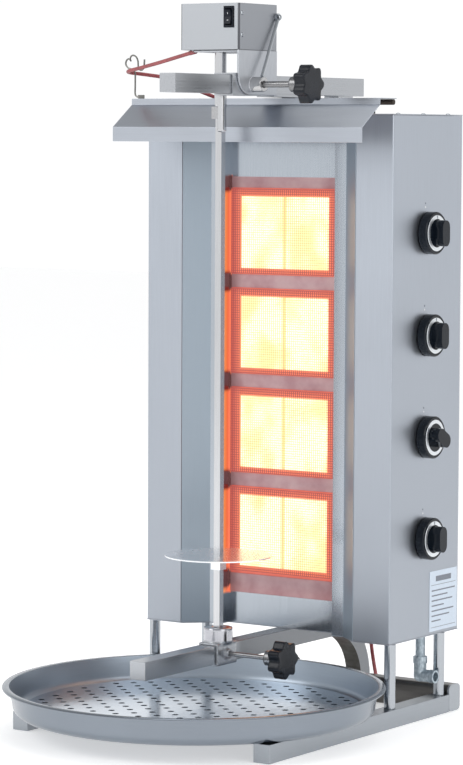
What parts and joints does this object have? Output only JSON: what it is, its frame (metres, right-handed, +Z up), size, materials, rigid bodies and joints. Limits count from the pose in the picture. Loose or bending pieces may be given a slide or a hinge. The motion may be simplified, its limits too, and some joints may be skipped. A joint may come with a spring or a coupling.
{
  "type": "vertical rotisserie broiler",
  "caption": "Upright gas broiler with radiant burners, a motor-driven vertical spit on sliding carriages, side gas knobs and a round drip pan.",
  "frame": {"origin": "on the supporting surface, under the middle of the box round the machine without its motor lead", "axes": "+Z up; the burners and spit face -Y; the gas knobs and the clamp knobs are on the +X side"},
  "size_m": [0.622, 0.8751, 1.1763],
  "materials": {
    "casing_steel": "satin sheet steel with a fine grain, slightly blue",
    "tube_steel": "satin square tube with welded and ground ends",
    "polished_steel": "bright turned or polished steel",
    "pan_steel": "bright spun sheet",
    "dark_steel": "dull heat-darkened steel",
    "glowing_ceramic": "radiant ceramic tile, glowing yellow-orange",
    "mesh_wire": "heat-tinted woven wire guard",
    "black_knob": "moulded black thermoset plastic",
    "black_gloss": "glossy black switch plastic",
    "galvanised_pipe": "galvanised gas pipe, grey-blue",
    "valve_brass": "machined brass",
    "motor_casting": "grey cast gearbox",
    "red_cable": "dull red rubber-sheathed cable",
    "black_rubber": "black moulded rubber"
  },
  "bodies": {
    "frame": {"base_foot_left": "tube_steel", "base_foot_right": "tube_steel", "bottom_plate": "casing_steel", "burner_housing_1": "dark_steel", "burner_housing_2": "dark_steel", "burner_housing_3": "dark_steel", "burner_housing_4": "dark_steel", "burner_rack": "casing_steel", "ceramic_tiles_1": "glowing_ceramic", "ceramic_tiles_2": "glowing_ceramic", "ceramic_tiles_3": "glowing_ceramic", "ceramic_tiles_4": "glowing_ceramic", "column_left_front": "polished_steel", "column_left_rear": "polished_steel", "column_right_front": "polished_steel", "column_right_rear": "polished_steel", "cord_coil": "red_cable", "cord_hook": "polished_steel", "front_reflector": "casing_steel", "gas_inlet": "galvanised_pipe", "gas_manifold": "galvanised_pipe", "gas_valve_1": "valve_brass", "gas_valve_2": "valve_brass", "gas_valve_3": "valve_brass", "gas_valve_4": "valve_brass", "hood": "casing_steel", "hood_bar": "dark_steel", "lower_arm": "tube_steel", "mains_plug": "black_rubber", "mesh_guard_1": "mesh_wire", "mesh_guard_2": "mesh_wire", "mesh_guard_3": "mesh_wire", "mesh_guard_4": "mesh_wire", "motor_cord": "red_cable", "rear_crossbar": "tube_steel", "rear_panel": "casing_steel", "side_panel_left": "casing_steel", "side_panel_right": "casing_steel", "top_cover": "casing_steel", "upper_rail": "tube_steel"},
    "upper_carriage": {"upper_sleeve": "tube_steel", "motor_bracket": "casing_steel", "motor_box": "casing_steel", "gear_motor": "motor_casting", "switch_housing": "black_gloss", "brace_rod": "polished_steel", "cord_gland": "red_cable"},
    "drive": {"drive_shaft": "polished_steel"},
    "rocker": {"switch_rocker": "black_gloss"},
    "upper_clamp": {"upper_clamp_knob": "black_knob"},
    "lower_carriage": {"lower_sleeve": "tube_steel"},
    "lower_clamp": {"lower_clamp_knob": "black_knob"},
    "spit": {"spit": "polished_steel"},
    "disc": {"spit_disc": "polished_steel"},
    "pan": {"drip_pan": "pan_steel"},
    "pan_insert": {"perforated_plate": "pan_steel"},
    "knob_1": {"gas_knob_1": "black_knob"},
    "knob_2": {"gas_knob_2": "black_knob"},
    "knob_3": {"gas_knob_3": "black_knob"},
    "knob_4": {"gas_knob_4": "black_knob"}
  },
  "joints": [
    {"name": "upper_carriage_slide", "type": "slide", "parent": "frame", "child": "upper_carriage", "axis": [0, 1, 0], "range_m": [-0.15, 0.02]},
    {"name": "lower_carriage_slide", "type": "slide", "parent": "frame", "child": "lower_carriage", "axis": [0, 1, 0], "range_m": [-0.15, 0.02]},
    {"name": "drive_shaft_spin", "type": "hinge", "parent": "upper_carriage", "child": "drive", "pos_m": [0, -0.0355, 1.05], "axis": [0, 0, 1], "continuous": true},
    {"name": "spit_spin", "type": "hinge", "parent": "lower_carriage", "child": "spit", "pos_m": [0, -0.0355, 0.16], "axis": [0, 0, 1], "continuous": true},
    {"name": "disc_height", "type": "slide", "parent": "spit", "child": "disc", "axis": [0, 0, 1], "range_m": [-0.08, 0.45]},
    {"name": "upper_clamp_turn", "type": "hinge", "parent": "upper_carriage", "child": "upper_clamp", "pos_m": [0.13, -0.0255, 1.0469], "axis": [1, 0, 0], "range_deg": [0, 360]},
    {"name": "lower_clamp_turn", "type": "hinge", "parent": "lower_carriage", "child": "lower_clamp", "pos_m": [0.1, -0.0365, 0.1207], "axis": [1, 0, 0], "range_deg": [0, 360]},
    {"name": "motor_switch_rock", "type": "hinge", "parent": "upper_carriage", "child": "rocker", "pos_m": [0.0374, -0.063, 1.1543], "axis": [1, 0, 0], "range_deg": [-9, 9]},
    {"name": "pan_pull_out", "type": "slide", "parent": "frame", "child": "pan", "axis": [0, -1, 0], "range_m": [0, 0.3]},
    {"name": "insert_lift", "type": "slide", "parent": "pan", "child": "pan_insert", "axis": [0, 0, 1], "range_m": [0, 0.025]},
    {"name": "gas_knob_1_turn", "type": "hinge", "parent": "frame", "child": "knob_1", "pos_m": [0.243, 0.2165, 0.8065], "axis": [1, 0, 0], "range_deg": [0, 180]},
    {"name": "gas_knob_2_turn", "type": "hinge", "parent": "frame", "child": "knob_2", "pos_m": [0.243, 0.2165, 0.638], "axis": [1, 0, 0], "range_deg": [0, 180]},
    {"name": "gas_knob_3_turn", "type": "hinge", "parent": "frame", "child": "knob_3", "pos_m": [0.243, 0.2165, 0.4695], "axis": [1, 0, 0], "range_deg": [0, 180]},
    {"name": "gas_knob_4_turn", "type": "hinge", "parent": "frame", "child": "knob_4", "pos_m": [0.243, 0.2165, 0.301], "axis": [1, 0, 0], "range_deg": [0, 180]}
  ],
  "couplings": [
    {"joint": "lower_carriage_slide", "follows": "upper_carriage_slide", "ratio": 1},
    {"joint": "spit_spin", "follows": "drive_shaft_spin", "ratio": 1}
  ]
}
